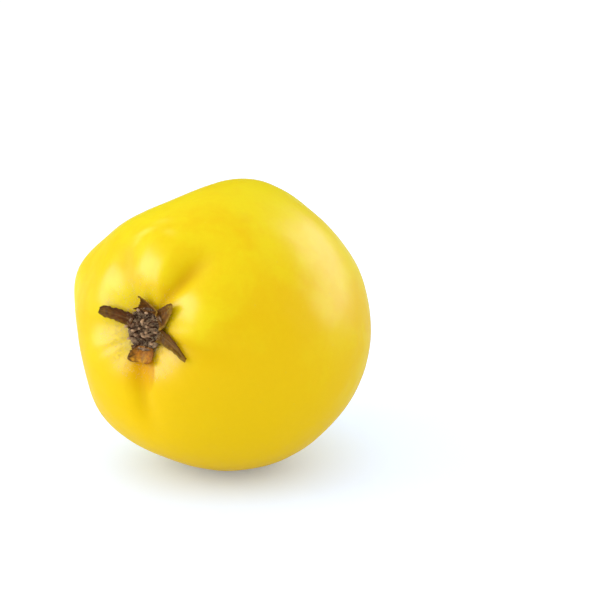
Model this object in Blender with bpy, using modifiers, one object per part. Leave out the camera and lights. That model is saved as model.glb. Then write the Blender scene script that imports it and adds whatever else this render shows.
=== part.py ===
"""A whole ripe quince lying on its side, with its stalk and the dried flower at its other end.

Lengths are in metres, +Z is up, and the origin is on the surface under the middle of the fruit's box.
Every piece is modelled around the fruit's core axis, its local +Z pointing out of the flower end, and is
parented to the empty quince_core. The core tips that axis, so that the flower end faces -Y and looks up
a little, and it carries the fruit on the small flat that it rests on.

Directions from the middle of the fruit are given by a polar angle from the flower end and by an azimuth
around the core, counted from +X towards the fruit's upper side.
"""

import math

import bmesh
import bpy
from mathutils import Matrix, Vector

MM = 0.001

# How the fruit lies
CORE_TILT = math.radians(13.2)
REST_FLAT_DEPTH = 0.5 * MM

# The fruit's form: a round body with a sunken flower end, a short neck and a pit for the stalk
MEAN_RADIUS = 44.0 * MM
BASIN_DEPTH = 7.6 * MM
BASIN_SPREAD = math.radians(16.5)
NECK_RISE = 8.0 * MM
NECK_SPREAD = math.radians(18)
PIT_DEPTH = 2.6 * MM
PIT_SPREAD = math.radians(5)
WAIST_DEPTH = 1.4 * MM
WAIST_POLAR = math.radians(146)
WAIST_SPREAD = math.radians(16)

# Five furrows run out of the basin between the lobes: azimuth in degrees, depth in millimetres
CREASES = ((59, 3.0), (116, 1.0), (182, 0.9), (270, 2.0), (350, 0.8))
CREASE_POLAR = math.radians(26)
CREASE_RUN = math.radians(13)
CREASE_SPREAD = math.radians(12)
RIB_DEPTH = 0.35 * MM
RIB_SPREAD = math.radians(26)

# Broad lumps and hollows: azimuth, polar angle and spread in degrees, height in millimetres
SWELLINGS = (
    (118, 80, -3.8, 24),
    (165, 61, 2.4, 13),
    (207, 59, -2.0, 13),
    (229, 64, 1.1, 18),
    (264, 79, -0.9, 20),
    (59, 113, -0.6, 18),
    (91, 96, 1.2, 18),
    (345, 140, 1.2, 25),
    (29, 25, 0.8, 12),
    (92, 27, 0.8, 12),
    (141, 25, 0.5, 11),
    (215, 28, 0.5, 13),
    (311, 22, 0.5, 11),
)
BODY_SEGMENTS = 72
BODY_RINGS = 40

# Clearance between one piece and the next
GAP = 0.3 * MM

# The dried cup that the flower's parts grow from
CUP_RADIUS = 5.6 * MM
CUP_THICKNESS = 0.7 * MM
CUP_RIM_RISE = 0.9 * MM
CUP_SEGMENTS = 40
CUP_RINGS = 12

# The five dried sepals: azimuth in degrees; reach from the core axis, half width at the foot and towards
# the tip, rise of the tip and sideways bend of the tip in millimetres; curl of the sides as a share of the
# half width; and fullness, which is low for a pointed blade and high for a blunt one
SEPALS = (
    (163, 15.6, 2.0, 1.85, 1.2, 1.4, 0.30, 7.0),
    (86, 9.4, 2.8, 1.2, 2.4, 2.0, 0.35, 2.2),
    (37, 13.4, 2.0, 1.6, 1.6, 0.6, 0.30, 3.0),
    (349, 16.8, 2.0, 1.3, 0.6, -3.0, 0.30, 3.0),
    (272, 9.8, 3.7, 4.6, 0.7, 0.0, 0.16, 9.0),
)
SEPAL_START = 6.0 * MM
SEPAL_THICKNESS = 0.55 * MM
SEPAL_LIE = 0.5 * MM
SEPAL_STEPS = 14
SEPAL_SIDES = 4

# Twenty dried stamens in two rings, and five styles in the middle
STAMEN_COUNT = 20
STAMEN_RINGS = (4.7 * MM, 3.3 * MM)
STAMEN_LENGTHS = (3.4 * MM, 4.2 * MM)
STAMEN_LEANS = (0.35, -0.30)
STAMEN_LEAN_UNEVENNESS = 0.12
STAMEN_LENGTH_UNEVENNESS = 0.12
STAMEN_BOW = 0.25 * MM
FILAMENT_RADIUS = 0.22 * MM
ANTHER_SWELL = 2.3
STYLE_COUNT = 5
STYLE_RING = 1.1 * MM
STYLE_LENGTH = 3.0 * MM
STYLE_LEAN = 0.12
STYLE_BOW = 0.15 * MM
STYLE_RADIUS = 0.25 * MM
STIGMA_SWELL = 1.6
STRAND_POINTS = 8
HEAD_PLACE = 0.86
HEAD_SPREAD = 0.12

# The short woody stalk: radius and height in millimetres, from its foot in the pit to its broken end
STALK_PROFILE = (
    (0.0, 0.0),
    (1.7, 0.05),
    (2.25, 0.45),
    (2.15, 1.5),
    (1.85, 3.2),
    (1.75, 5.2),
    (1.95, 6.8),
    (2.35, 7.9),
    (2.45, 8.6),
    (2.1, 9.1),
    (0.9, 9.3),
    (0.0, 9.2),
)
STALK_SEGMENTS = 28
STALK_BEND = 1.3 * MM
STALK_STAND = 0.7 * MM

SKIN_YELLOW = (0.80, 0.56, 0.03)
STALK_BROWN = (0.16, 0.09, 0.04)
CUP_BROWN = (0.10, 0.06, 0.03)
SEPAL_BROWN = (0.15, 0.08, 0.02)
STAMEN_BROWN = (0.17, 0.12, 0.08)
STYLE_GREY = (0.26, 0.20, 0.14)


def bell(offset, spread):
    """A smooth hump: 1 in its middle, and fallen to about a third one spread away."""
    return math.exp(-((offset / spread) ** 2))


def arc_between(polar, azimuth, other_polar, other_azimuth):
    """The angle between two directions from the middle of the fruit."""
    cosine = math.cos(polar) * math.cos(other_polar)
    cosine += math.sin(polar) * math.sin(other_polar) * math.cos(azimuth - other_azimuth)
    return math.acos(max(-1.0, min(1.0, cosine)))


def fruit_radius(polar, azimuth):
    """How far the skin is from the middle of the fruit in one direction."""
    radius = MEAN_RADIUS
    radius -= BASIN_DEPTH * bell(polar, BASIN_SPREAD)
    radius += NECK_RISE * bell(math.pi - polar, NECK_SPREAD)
    radius -= PIT_DEPTH * bell(math.pi - polar, PIT_SPREAD)
    radius -= WAIST_DEPTH * bell(polar - WAIST_POLAR, WAIST_SPREAD)
    along_crease = bell(polar - CREASE_POLAR, CREASE_RUN)
    along_rib = math.sin(polar) ** 2
    for crease_azimuth, depth in CREASES:
        aside = math.remainder(azimuth - math.radians(crease_azimuth), math.tau)
        radius -= depth * MM * along_crease * bell(aside, CREASE_SPREAD)
        radius -= RIB_DEPTH * along_rib * bell(aside, RIB_SPREAD)
    for lump_azimuth, lump_polar, height, spread in SWELLINGS:
        away = arc_between(polar, azimuth, math.radians(lump_polar), math.radians(lump_azimuth))
        radius += height * MM * bell(away, math.radians(spread))
    return radius


def skin_height(across, azimuth):
    """How far along the core axis the skin of the flower end lies, at a distance across from the axis."""
    polar = 0.0
    for _ in range(12):
        polar = math.asin(across / fruit_radius(polar, azimuth))
    return fruit_radius(polar, azimuth) * math.cos(polar)


def cup_top(across, azimuth):
    """The height of the cup's upper face: a shallow dish with a raised rim."""
    rim = CUP_RIM_RISE * (across / CUP_RADIUS) ** 2
    return skin_height(across, azimuth) + GAP + CUP_THICKNESS + rim


def around_core(across, azimuth, height):
    """A point at a distance from the core axis, in a direction around it, at a height along it."""
    return Vector((across * math.cos(azimuth), across * math.sin(azimuth), height))


def make_material(name, colour, roughness):
    """A plain non-metal finish."""
    material = bpy.data.materials.new(name)
    material.use_nodes = True
    shader = material.node_tree.nodes["Principled BSDF"]
    shader.inputs["Base Color"].default_value = (*colour, 1.0)
    shader.inputs["Roughness"].default_value = roughness
    shader.inputs["Metallic"].default_value = 0.0
    return material


def add_piece(name, data, material, core, collection):
    """Puts a mesh or curve in the part's collection as a child of the core."""
    data.materials.append(material)
    piece = bpy.data.objects.new(name, data)
    piece.parent = core
    collection.objects.link(piece)
    return piece


def mesh_from(shape, name):
    """Turns a finished bmesh into a smooth-shaded mesh whose faces point outwards."""
    bmesh.ops.recalc_face_normals(shape, faces=shape.faces)
    mesh = bpy.data.meshes.new(name)
    shape.to_mesh(mesh)
    shape.free()
    mesh.shade_smooth()
    mesh.set_sharp_from_angle(angle=math.radians(40))
    return mesh


def cut_rest_flat(shape):
    """Cuts the small flat that the fruit rests on, square to the world's vertical."""
    down = Vector((0.0, -math.cos(CORE_TILT), -math.sin(CORE_TILT)))
    reach = max(vert.co.dot(down) for vert in shape.verts)
    bmesh.ops.bisect_plane(
        shape,
        geom=[*shape.verts, *shape.edges, *shape.faces],
        plane_co=down * (reach - REST_FLAT_DEPTH),
        plane_no=down,
        clear_outer=True,
    )
    rim = [edge for edge in shape.edges if edge.is_boundary]
    bmesh.ops.holes_fill(shape, edges=rim, sides=0)


def make_fruit_body(core, collection):
    """The fruit itself, flesh and skin in one solid."""
    shape = bmesh.new()
    bmesh.ops.create_uvsphere(shape, u_segments=BODY_SEGMENTS, v_segments=BODY_RINGS, radius=1.0)
    for vert in shape.verts:
        across = math.hypot(vert.co.x, vert.co.y)
        polar = math.atan2(across, vert.co.z)
        azimuth = math.atan2(vert.co.y, vert.co.x)
        vert.co = vert.co.normalized() * fruit_radius(polar, azimuth)
    cut_rest_flat(shape)
    skin = make_material("quince_skin", SKIN_YELLOW, 0.35)
    return add_piece("fruit_body", mesh_from(shape, "fruit_body"), skin, core, collection)


def make_calyx_cup(core, collection):
    """A thin dished disc, its underside following the basin's floor."""
    shape = bmesh.new()
    bmesh.ops.create_uvsphere(shape, u_segments=CUP_SEGMENTS, v_segments=CUP_RINGS, radius=1.0)
    for vert in shape.verts:
        share = math.hypot(vert.co.x, vert.co.y)
        azimuth = math.atan2(vert.co.y, vert.co.x)
        across = CUP_RADIUS * share
        under = skin_height(across, azimuth) + GAP
        upper = cup_top(across, azimuth)
        level = (vert.co.z + 1.0) / 2
        vert.co = around_core(across, azimuth, under + (upper - under) * level)
    dried = make_material("dried_cup", CUP_BROWN, 0.9)
    return add_piece("calyx_cup", mesh_from(shape, "calyx_cup"), dried, core, collection)


def sepal_width(along, foot, tip, fullness):
    """A sepal's half width at a point along it; its end is rounded off."""
    return (foot + (tip - foot) * along) * MM * math.sqrt(1.0 - (0.97 * along) ** fullness)


def sepal_point(sepal, along, side):
    """A point of a sepal's underside: along runs 0 to 1 to its tip, side -1 to 1 across it."""
    azimuth, reach, foot, tip, tip_rise, bend, curl, fullness = sepal
    across = SEPAL_START + (reach * MM - SEPAL_START) * along
    width = sepal_width(along, foot, tip, fullness)
    aside = side * width + bend * MM * along**2
    direction = math.radians(azimuth) + math.atan2(aside, across)
    out = math.hypot(across, aside)
    height = skin_height(out, direction) + SEPAL_LIE
    height += tip_rise * MM * along**3
    height += curl * width * side**2
    return around_core(out, direction, height)


def make_sepal(number, sepal, material, core, collection):
    """One dried sepal, a thin curled blade that lies over the lobe beside the basin."""
    shape = bmesh.new()
    bmesh.ops.create_grid(shape, x_segments=SEPAL_STEPS, y_segments=SEPAL_SIDES, size=1.0)
    for vert in shape.verts:
        vert.co = sepal_point(sepal, (vert.co.x + 1.0) / 2, vert.co.y)
    name = f"sepal_{number}"
    piece = add_piece(name, mesh_from(shape, name), material, core, collection)
    wall = piece.modifiers.new("wall", "SOLIDIFY")
    wall.thickness = SEPAL_THICKNESS
    wall.offset = 1.0
    return piece


def strand_data(name, foot, direction, bow, length, radius, tip_swell):
    """A closed tube along a slightly bowed line, thickening to a small head at its tip."""
    curve = bpy.data.curves.new(name, "CURVE")
    curve.dimensions = "3D"
    curve.bevel_depth = radius
    curve.bevel_resolution = 1
    curve.use_fill_caps = True
    line = curve.splines.new("POLY")
    line.points.add(STRAND_POINTS - 1)
    for index, point in enumerate(line.points):
        along = index / (STRAND_POINTS - 1)
        place = foot + direction * (length * along) + bow * math.sin(math.pi * along)
        point.co = (*place, 1.0)
        point.radius = 1.0 + (tip_swell - 1.0) * bell(along - HEAD_PLACE, HEAD_SPREAD)
    return curve


def add_strand(name, curve, material, core, collection):
    """Meshes a strand's curve and welds its caps, then keeps the mesh and drops the curve."""
    guide = bpy.data.objects.new(name + "_line", curve)
    collection.objects.link(guide)
    graph = bpy.context.evaluated_depsgraph_get()
    mesh = bpy.data.meshes.new_from_object(guide.evaluated_get(graph))
    bpy.data.objects.remove(guide)
    shape = bmesh.new()
    shape.from_mesh(mesh)
    bpy.data.meshes.remove(mesh)
    bmesh.ops.remove_doubles(shape, verts=shape.verts, dist=0.001 * MM)
    return add_piece(name, mesh_from(shape, name), material, core, collection)


def make_stamens(core, collection):
    """The dried stamens, which stand on the cup in an outer and an inner ring, each unlike the next."""
    dried = make_material("dried_stamens", STAMEN_BROWN, 0.9)
    pieces = []
    for index in range(STAMEN_COUNT):
        inner = index % 2
        azimuth = math.tau * index / STAMEN_COUNT
        across = STAMEN_RINGS[inner]
        foot = around_core(across, azimuth, cup_top(across, azimuth) + GAP)
        outward = around_core(1.0, azimuth, 0.0)
        sideways = around_core(1.0, azimuth + math.pi / 2, 0.0)
        lean = STAMEN_LEANS[inner] + STAMEN_LEAN_UNEVENNESS * math.sin(2.4 * index)
        direction = (Vector((0.0, 0.0, 1.0)) + outward * lean).normalized()
        bow = sideways * (STAMEN_BOW * math.sin(1.9 * index))
        length = STAMEN_LENGTHS[inner] * (1.0 + STAMEN_LENGTH_UNEVENNESS * math.cos(2.9 * index))
        name = f"stamen_{index + 1:02d}"
        curve = strand_data(name, foot, direction, bow, length, FILAMENT_RADIUS, ANTHER_SWELL)
        pieces.append(add_strand(name, curve, dried, core, collection))
    return pieces


def make_styles(core, collection):
    """The five dried styles in the middle of the cup."""
    dried = make_material("dried_styles", STYLE_GREY, 0.95)
    pieces = []
    for index in range(STYLE_COUNT):
        azimuth = math.tau * (index + 0.5) / STYLE_COUNT
        foot = around_core(STYLE_RING, azimuth, cup_top(STYLE_RING, azimuth) + GAP)
        outward = around_core(1.0, azimuth, 0.0)
        direction = (Vector((0.0, 0.0, 1.0)) + outward * STYLE_LEAN).normalized()
        bow = outward * STYLE_BOW
        name = f"style_{index + 1}"
        curve = strand_data(name, foot, direction, bow, STYLE_LENGTH, STYLE_RADIUS, STIGMA_SWELL)
        pieces.append(add_strand(name, curve, dried, core, collection))
    return pieces


def make_stalk(core, collection):
    """The stalk, turned from its profile and bent a little to one side, with its foot in the pit."""
    shape = bmesh.new()
    points = [shape.verts.new((radius * MM, 0.0, height * MM)) for radius, height in STALK_PROFILE]
    edges = [shape.edges.new(pair) for pair in zip(points, points[1:])]
    bmesh.ops.spin(
        shape,
        geom=[*points, *edges],
        axis=(0.0, 0.0, 1.0),
        cent=(0.0, 0.0, 0.0),
        angle=math.tau,
        steps=STALK_SEGMENTS,
        use_merge=True,
    )
    bmesh.ops.remove_doubles(shape, verts=shape.verts, dist=0.001 * MM)
    length = STALK_PROFILE[-1][1] * MM
    for vert in shape.verts:
        vert.co.x += STALK_BEND * (vert.co.z / length) ** 2
    foot = fruit_radius(math.pi, 0.0) + STALK_STAND
    bmesh.ops.transform(
        shape,
        matrix=Matrix.Translation((0.0, 0.0, -foot)) @ Matrix.Rotation(math.pi, 4, "X"),
        verts=shape.verts,
    )
    woody = make_material("stalk_wood", STALK_BROWN, 0.85)
    return add_piece("stalk", mesh_from(shape, "stalk"), woody, core, collection)


def settle(core, pieces):
    """Moves the core so that the origin lies on the surface, under the middle of the whole box."""
    bpy.context.view_layer.update()
    graph = bpy.context.evaluated_depsgraph_get()
    places = []
    for piece in pieces:
        evaluated = piece.evaluated_get(graph)
        mesh = evaluated.to_mesh()
        places.extend(evaluated.matrix_world @ vert.co for vert in mesh.vertices)
        evaluated.to_mesh_clear()
    low = [min(place[axis] for place in places) for axis in range(3)]
    high = [max(place[axis] for place in places) for axis in range(3)]
    core.location.x -= (low[0] + high[0]) / 2
    core.location.y -= (low[1] + high[1]) / 2
    core.location.z -= low[2]


def main():
    for leftover in list(bpy.data.objects):
        bpy.data.objects.remove(leftover)
    collection = bpy.data.collections.new("quince")
    bpy.context.scene.collection.children.link(collection)
    core = bpy.data.objects.new("quince_core", None)
    core.rotation_euler.x = math.pi / 2 - CORE_TILT
    collection.objects.link(core)

    pieces = [
        make_fruit_body(core, collection),
        make_calyx_cup(core, collection),
        make_stalk(core, collection),
    ]
    dried = make_material("dried_sepals", SEPAL_BROWN, 0.8)
    for number, sepal in enumerate(SEPALS, start=1):
        pieces.append(make_sepal(number, sepal, dried, core, collection))
    pieces.extend(make_stamens(core, collection))
    pieces.extend(make_styles(core, collection))
    settle(core, pieces)


main()
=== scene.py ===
"""The looks of a whole ripe quince that lies on its side, with its woody stalk and its dried flower.

Every piece is modelled around the fruit's core axis, whose +Z leaves the flower end, and is then put in
the frame with core_matrix(), so its object stays at the origin. Lengths are in metres. A direction from
the middle of the fruit is a polar angle from the flower end and an azimuth around the core, counted from
+X towards the fruit's upper side.
"""

import random
from math import acos, asin, atan2, cos, degrees, exp, hypot, pi, radians, remainder, sin, sqrt, tau

import bmesh
import bpy
from bpy.props import FloatProperty, FloatVectorProperty, IntProperty, PointerProperty
from mathutils import Matrix, Vector, noise


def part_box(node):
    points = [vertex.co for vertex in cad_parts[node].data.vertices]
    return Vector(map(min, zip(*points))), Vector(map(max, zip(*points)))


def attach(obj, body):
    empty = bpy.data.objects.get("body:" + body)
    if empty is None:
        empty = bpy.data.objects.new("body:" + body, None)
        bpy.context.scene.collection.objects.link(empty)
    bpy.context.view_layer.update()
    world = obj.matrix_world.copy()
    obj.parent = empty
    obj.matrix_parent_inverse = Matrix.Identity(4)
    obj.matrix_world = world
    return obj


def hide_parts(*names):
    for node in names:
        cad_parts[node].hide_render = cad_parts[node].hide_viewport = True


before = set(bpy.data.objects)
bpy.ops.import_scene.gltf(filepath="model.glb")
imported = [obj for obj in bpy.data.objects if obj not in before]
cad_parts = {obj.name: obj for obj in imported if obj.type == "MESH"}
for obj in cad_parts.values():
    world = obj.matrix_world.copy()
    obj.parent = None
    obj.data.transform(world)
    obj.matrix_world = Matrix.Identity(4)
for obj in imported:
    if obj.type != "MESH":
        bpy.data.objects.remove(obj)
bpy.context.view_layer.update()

bl_info = {
    "name": "Quince",
    "version": (1, 0, 0),
    "blender": (4, 5, 0),
    "location": "3D View > Sidebar > Quince",
    "description": "Dresses the frame of a quince: skin, dried flower, stalk and down, on a pale stage",
    "category": "Add Mesh",
}

MM = 0.001

# How the fruit lies
CORE_TILT = radians(13.2)
REST_SOFTNESS = 0.35 * MM
REST_REACH = 8 * REST_SOFTNESS

# The fruit's form: a round body with a sunken flower end, a short neck and a pit for the stalk
MEAN_RADIUS = 44.0 * MM
BASIN_DEPTH = 7.6 * MM
BASIN_SPREAD = radians(16.5)
NECK_RISE = 8.0 * MM
NECK_SPREAD = radians(18)
PIT_DEPTH = 2.6 * MM
PIT_SPREAD = radians(5)
WAIST_DEPTH = 1.4 * MM
WAIST_POLAR = radians(146)
WAIST_SPREAD = radians(16)

# Five furrows run out of the basin between the lobes: azimuth in degrees, depth in millimetres
CREASES = ((59, 3.0), (116, 1.0), (182, 0.9), (270, 2.0), (350, 0.8))
DEEPEST_CREASE = 3.0
CREASE_POLAR = radians(26)
CREASE_RUN = radians(13)
CREASE_SPREAD = radians(12)
CREASE_LINE_SPREAD = radians(7.5)
CREASE_LINE_DEPTH = 0.45 * MM
RIB_DEPTH = 0.35 * MM
RIB_SPREAD = radians(26)

# Broad lumps and hollows: azimuth and polar angle in degrees, height in millimetres, spread in degrees
SWELLINGS = (
    (118, 80, -3.8, 24),
    (165, 61, 2.4, 13),
    (207, 59, -2.0, 13),
    (229, 64, 1.1, 18),
    (264, 79, -0.9, 20),
    (59, 113, -0.6, 18),
    (91, 96, 1.2, 18),
    (345, 140, 1.2, 25),
    (29, 25, 0.8, 12),
    (92, 27, 0.8, 12),
    (141, 25, 0.5, 11),
    (215, 28, 0.5, 13),
    (311, 22, 0.5, 11),
)

# The grid of directions on which the frame's fruit body is built
FRAME_SEGMENTS = 72
FRAME_RINGS = 40
HEIGHT_ROUNDS = 6

# The finished skin: its mesh, whose rings crowd towards both ends, and its small unevenness
SKIN_SEGMENTS = 324
SKIN_RINGS = 300
RING_CROWDING = 0.45
LUMP_LAYERS = ((2.6, 1.0), (7.0, 0.38))
PLEAT_HEIGHT = 0.19 * MM
PLEAT_POLAR = radians(17)
PLEAT_SPREAD = radians(8)
PLEAT_FREQUENCY = 5.5
PLEAT_DRIFT = 2.2
PIT_PLEAT_HEIGHT = 0.88 * MM
PIT_PLEAT_SPREAD = radians(12)

# Thin wrinkles across the shoulder, each a ridge beside a groove: azimuth, polar angle and half length in
# degrees, how far it climbs for each degree along it, and height in millimetres
WRINKLES = (
    (107, 38.6, 8.0, -0.15, 0.16),
    (111, 35.2, 4.5, -0.10, 0.09),
    (88, 38.0, 6.0, 0.05, 0.07),
    (98, 43.5, 7.0, -0.05, 0.06),
)
WRINKLE_WIDTH = radians(1.5)
WRINKLE_REACH = 1.6
WRINKLE_SIDESTEP = 0.8

# Low crests on the lobes around the flower, given as the broad lumps are
CRESTS = (
    (17, 31.5, 0.95, 10.0),
    (141, 31.0, 0.55, 9.0),
    (86, 33.0, 0.35, 9.0),
)

# Small old knocks in the skin
KNOCKS = 26
KNOCK_SEED = 11
KNOCK_BELT = (-0.95, 0.8)
KNOCK_NEARNESS = 0.97
KNOCK_DEPTHS = (0.05 * MM, 0.20 * MM)
KNOCK_SPREADS = (radians(1.6), radians(4.2))

# The orange stain runs out from the broadest sepal: all in degrees, its two sides counted from its azimuth
STAIN_AZIMUTH = 270
STAIN_SOFT_SIDE = (-42.0, 2.0)
STAIN_SHARP_SIDE = (-1.5, 2.0)
STAIN_WIDTH = 26.0
STAIN_NARROWING = 0.14
STAIN_FADE = (15.0, 29.0)

# Where the skin ripened first and lies away from the light, painted golden as ripening and painted shade,
# with the lit side lemon; one lobe painted pale as a highlight; and a spot of painted bounce light low on the
# golden side. The spots are given by azimuth, polar angle and spread in degrees
GOLDEN_SIDE = (0.55, -0.62, 0.35)
GOLDEN_STRENGTH = 0.62
# One lobe beside the flower is painted paler, lemon, as a highlight.
PAINTED_HIGHLIGHT_LOBE = (14, 26, 11)
PAINTED_HIGHLIGHT_STRENGTH = 0.32
# Painted bounce light: a warmer, lighter gold low on the golden side, standing for light from below.
PAINTED_BOUNCE_SPOT = (255, 40, 24)
END_SPREAD = radians(17)

# The dried cup that the flower's parts grow from
GAP = 0.3 * MM
CUP_RADIUS = 6.2 * MM
CUP_THICKNESS = 0.7 * MM
CUP_RIM_RISE = 0.9 * MM
CUP_SEGMENTS = 120
CUP_RINGS = 40
CUP_CRINKLE = 0.22 * MM
CUP_CRINKLE_FREQUENCY = 900
CUP_RIBS = 0.16 * MM
CUP_BOSS = 0.25 * MM
CUP_PALE_HEIGHT = 0.4 * MM

# The five dried sepals: azimuth; reach from the core axis, half width at the foot and towards the tip,
# rise of the tip and sideways bend of the tip in millimetres; curl of the sides as a share of the width;
# and fullness, which is low for a pointed blade and high for a blunt one
SEPALS = (
    (163, 15.6, 2.15, 1.85, 1.2, 1.4, 0.30, 7.0),
    (86, 9.2, 4.2, 1.2, 2.4, 2.0, 0.35, 2.2),
    (37, 13.4, 3.1, 1.9, 1.6, 0.6, 0.30, 3.0),
    (349, 16.8, 2.2, 1.3, 0.6, -3.0, 0.30, 3.0),
    (272, 9.6, 3.7, 4.9, 0.7, 0.0, 0.16, 9.0),
)
SEPAL_START = 4.9 * MM
SEPAL_LIE = 0.5 * MM
SEPAL_FOOT_RISE = 1.0 * MM
SEPAL_CRUMPLES = ((1.0, 0.32 * MM), (2.7, 0.12 * MM))
SEPAL_STEPS = 56
SEPAL_SIDES = 22

# Each dried sepal's colours: in its middle, at its tip and along its two margins
SEPAL_COLOURS = (
    ((0.105, 0.028, 0.002), (0.150, 0.066, 0.003), (0.080, 0.022, 0.002), (0.190, 0.085, 0.005)),
    ((0.160, 0.052, 0.004), (0.120, 0.055, 0.004), (0.400, 0.210, 0.020), (0.130, 0.045, 0.004)),
    ((0.170, 0.060, 0.004), (0.320, 0.180, 0.006), (0.340, 0.180, 0.012), (0.130, 0.048, 0.004)),
    ((0.160, 0.065, 0.005), (0.200, 0.095, 0.004), (0.260, 0.140, 0.008), (0.140, 0.052, 0.004)),
    ((0.480, 0.170, 0.012), (0.600, 0.270, 0.014), (0.115, 0.050, 0.004), (0.340, 0.115, 0.008)),
)

# Twenty dried stamens in two rings, and five styles in the middle
STAMEN_COUNT = 20
STAMEN_RINGS = (4.7 * MM, 3.3 * MM)
STAMEN_LENGTHS = (3.4 * MM, 4.2 * MM)
STAMEN_LEANS = (0.35, -0.30)
STAMEN_UNEVENNESS = 0.12
STAMEN_BOW = 0.25 * MM
STAMEN_WAVER = 0.9 * MM
FILAMENT_RADIUS = 0.26 * MM
ANTHER_SWELL = 1.9
STYLE_COUNT = 5
STYLE_RING = 1.1 * MM
STYLE_LENGTH = 3.0 * MM
STYLE_LEAN = 0.12
STYLE_BOW = 0.15 * MM
STYLE_WAVER = 0.2 * MM
STYLE_RADIUS = 0.25 * MM
STIGMA_SWELL = 1.6
HEAD_PLACE = 0.82
HEAD_SPREAD = 0.15
STRAND_SIDES = 10
STRAND_RINGS = 34
STRAND_SEED = 3

# The short woody stalk: radius and height in millimetres, from its foot in the pit to its broken end
STALK_PROFILE = (
    (0.0, 0.0), (1.7, 0.05), (2.25, 0.45), (2.15, 1.5), (1.85, 3.2), (1.75, 5.2),
    (1.95, 6.8), (2.35, 7.9), (2.45, 8.6), (2.1, 9.1), (0.9, 9.3), (0.0, 9.2),
)
STALK_SEGMENTS = 112
STALK_PROFILE_STEPS = 12
STALK_BEND = 1.3 * MM
STALK_STAND = 0.1 * MM
STALK_SCARS = (0.16, 0.58, 0.66)
STALK_BREAK = (0.93, 0.975)

# Down: each hair is one thin closed spindle; a reach is the nearest and farthest angle from an end
HAIR_SIDES = 3
HAIR_RINGS = 5
HAIR_SINK = 0.05 * MM
FLOWER_REACH = (radians(7.5), radians(21))
STALK_REACH = (radians(2.6), radians(14))
TUFT_REACH = (radians(7.5), radians(12))
TUFT_TURNS = (radians(295), radians(335))
WHOLE_TURN = (0.0, tau)
DOWNY_AZIMUTH = 222

# The lights: azimuth, elevation and roll in degrees; distance, width and height in metres
KEY_PLACE = (-42.0, 24.0, 0.0, 0.60, 0.40, 0.40)
LEFT_PANE_PLACE = (-43.0, 20.0, 0.0, 0.60, 0.58, 0.44)
REAR_PANE_PLACE = (143.5, 21.5, 38.0, 0.55, 0.66, 0.40)

# How far the camera aims to the right of the fruit's middle and above it
AIM_RIGHT = 23.0 * MM
AIM_UP = 7.5 * MM


# ---- Form ----


def bell(offset, spread):
    """A smooth hump: 1 in its middle, and fallen to about a third one spread away."""
    return exp(-((offset / spread) ** 2))


def smooth_step(value, low, high):
    """0 below low, 1 above high, and a smooth rise between them."""
    share = max(0.0, min(1.0, (value - low) / (high - low)))
    return share * share * (3.0 - 2.0 * share)


def turn_between(azimuth, start):
    """The signed turn to an azimuth from one that is given in degrees."""
    return remainder(azimuth - radians(start), tau)


def around_core(across, azimuth, height):
    """A point at a distance from the core axis, in a direction around it, at a height along it."""
    return Vector((across * cos(azimuth), across * sin(azimuth), height))


def way_out(polar, azimuth):
    """The unit vector of a direction from the middle of the fruit."""
    return around_core(sin(polar), azimuth, cos(polar))


def arc_between(way, other_way):
    """The angle between two unit vectors."""
    return acos(max(-1.0, min(1.0, way.dot(other_way))))


def spot(azimuth, polar, spread):
    """A round spot on the fruit, from degrees: the direction of its middle, and its spread."""
    return way_out(radians(polar), radians(azimuth)), radians(spread)


def list_mounds(rows):
    """Spots that stand out or lie deeper, each as a height and the spot's middle and spread."""
    return [(height * MM, *spot(azimuth, polar, spread)) for azimuth, polar, height, spread in rows]


def mound_height(way, mounds):
    """How high some mounds stand together in one direction."""
    return sum(height * bell(arc_between(way, middle), spread) for height, middle, spread in mounds)


LUMPS = list_mounds(SWELLINGS)
LOW_CRESTS = list_mounds(CRESTS)


def fruit_radius(polar, azimuth):
    """How far the plain form is from the middle of the fruit in one direction."""
    radius = MEAN_RADIUS - BASIN_DEPTH * bell(polar, BASIN_SPREAD)
    radius += NECK_RISE * bell(pi - polar, NECK_SPREAD)
    radius -= PIT_DEPTH * bell(pi - polar, PIT_SPREAD)
    radius -= WAIST_DEPTH * bell(polar - WAIST_POLAR, WAIST_SPREAD)
    along_crease = bell(polar - CREASE_POLAR, CREASE_RUN)
    along_rib = sin(polar) ** 2
    for crease_azimuth, depth in CREASES:
        aside = turn_between(azimuth, crease_azimuth)
        radius -= depth * MM * along_crease * bell(aside, CREASE_SPREAD)
        radius -= RIB_DEPTH * along_rib * bell(aside, RIB_SPREAD)
    return radius + mound_height(way_out(polar, azimuth), LUMPS)


def skin_height(across, azimuth):
    """How far along the core axis the plain form of the flower end lies, at a distance from the axis."""
    polar = 0.0
    for _ in range(HEIGHT_ROUNDS):
        polar = asin(across / fruit_radius(polar, azimuth))
    return fruit_radius(polar, azimuth) * cos(polar)


def cup_top(across, azimuth):
    """The height of the cup's upper face: a shallow dish with a raised rim."""
    rim = CUP_RIM_RISE * (across / CUP_RADIUS) ** 2
    return skin_height(across, azimuth) + GAP + CUP_THICKNESS + rim


def core_matrix():
    """Tips the core and moves it so that the plain form fills the box of the frame's fruit body."""
    tip = Matrix.Rotation(pi / 2 - CORE_TILT, 4, "X")
    places = []
    for ring in range(FRAME_RINGS + 1):
        for segment in range(FRAME_SEGMENTS):
            polar = pi * ring / FRAME_RINGS
            azimuth = tau * segment / FRAME_SEGMENTS
            places.append(tip @ (way_out(polar, azimuth) * fruit_radius(polar, azimuth)))
    low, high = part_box("fruit_body")
    shift = Vector((0.0, 0.0, high.z - max(place.z for place in places)))
    for axis in range(2):
        lowest = min(place[axis] for place in places)
        highest = max(place[axis] for place in places)
        shift[axis] = (low[axis] + high[axis] - lowest - highest) / 2
    return Matrix.Translation(shift) @ tip


CORE = core_matrix()


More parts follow.
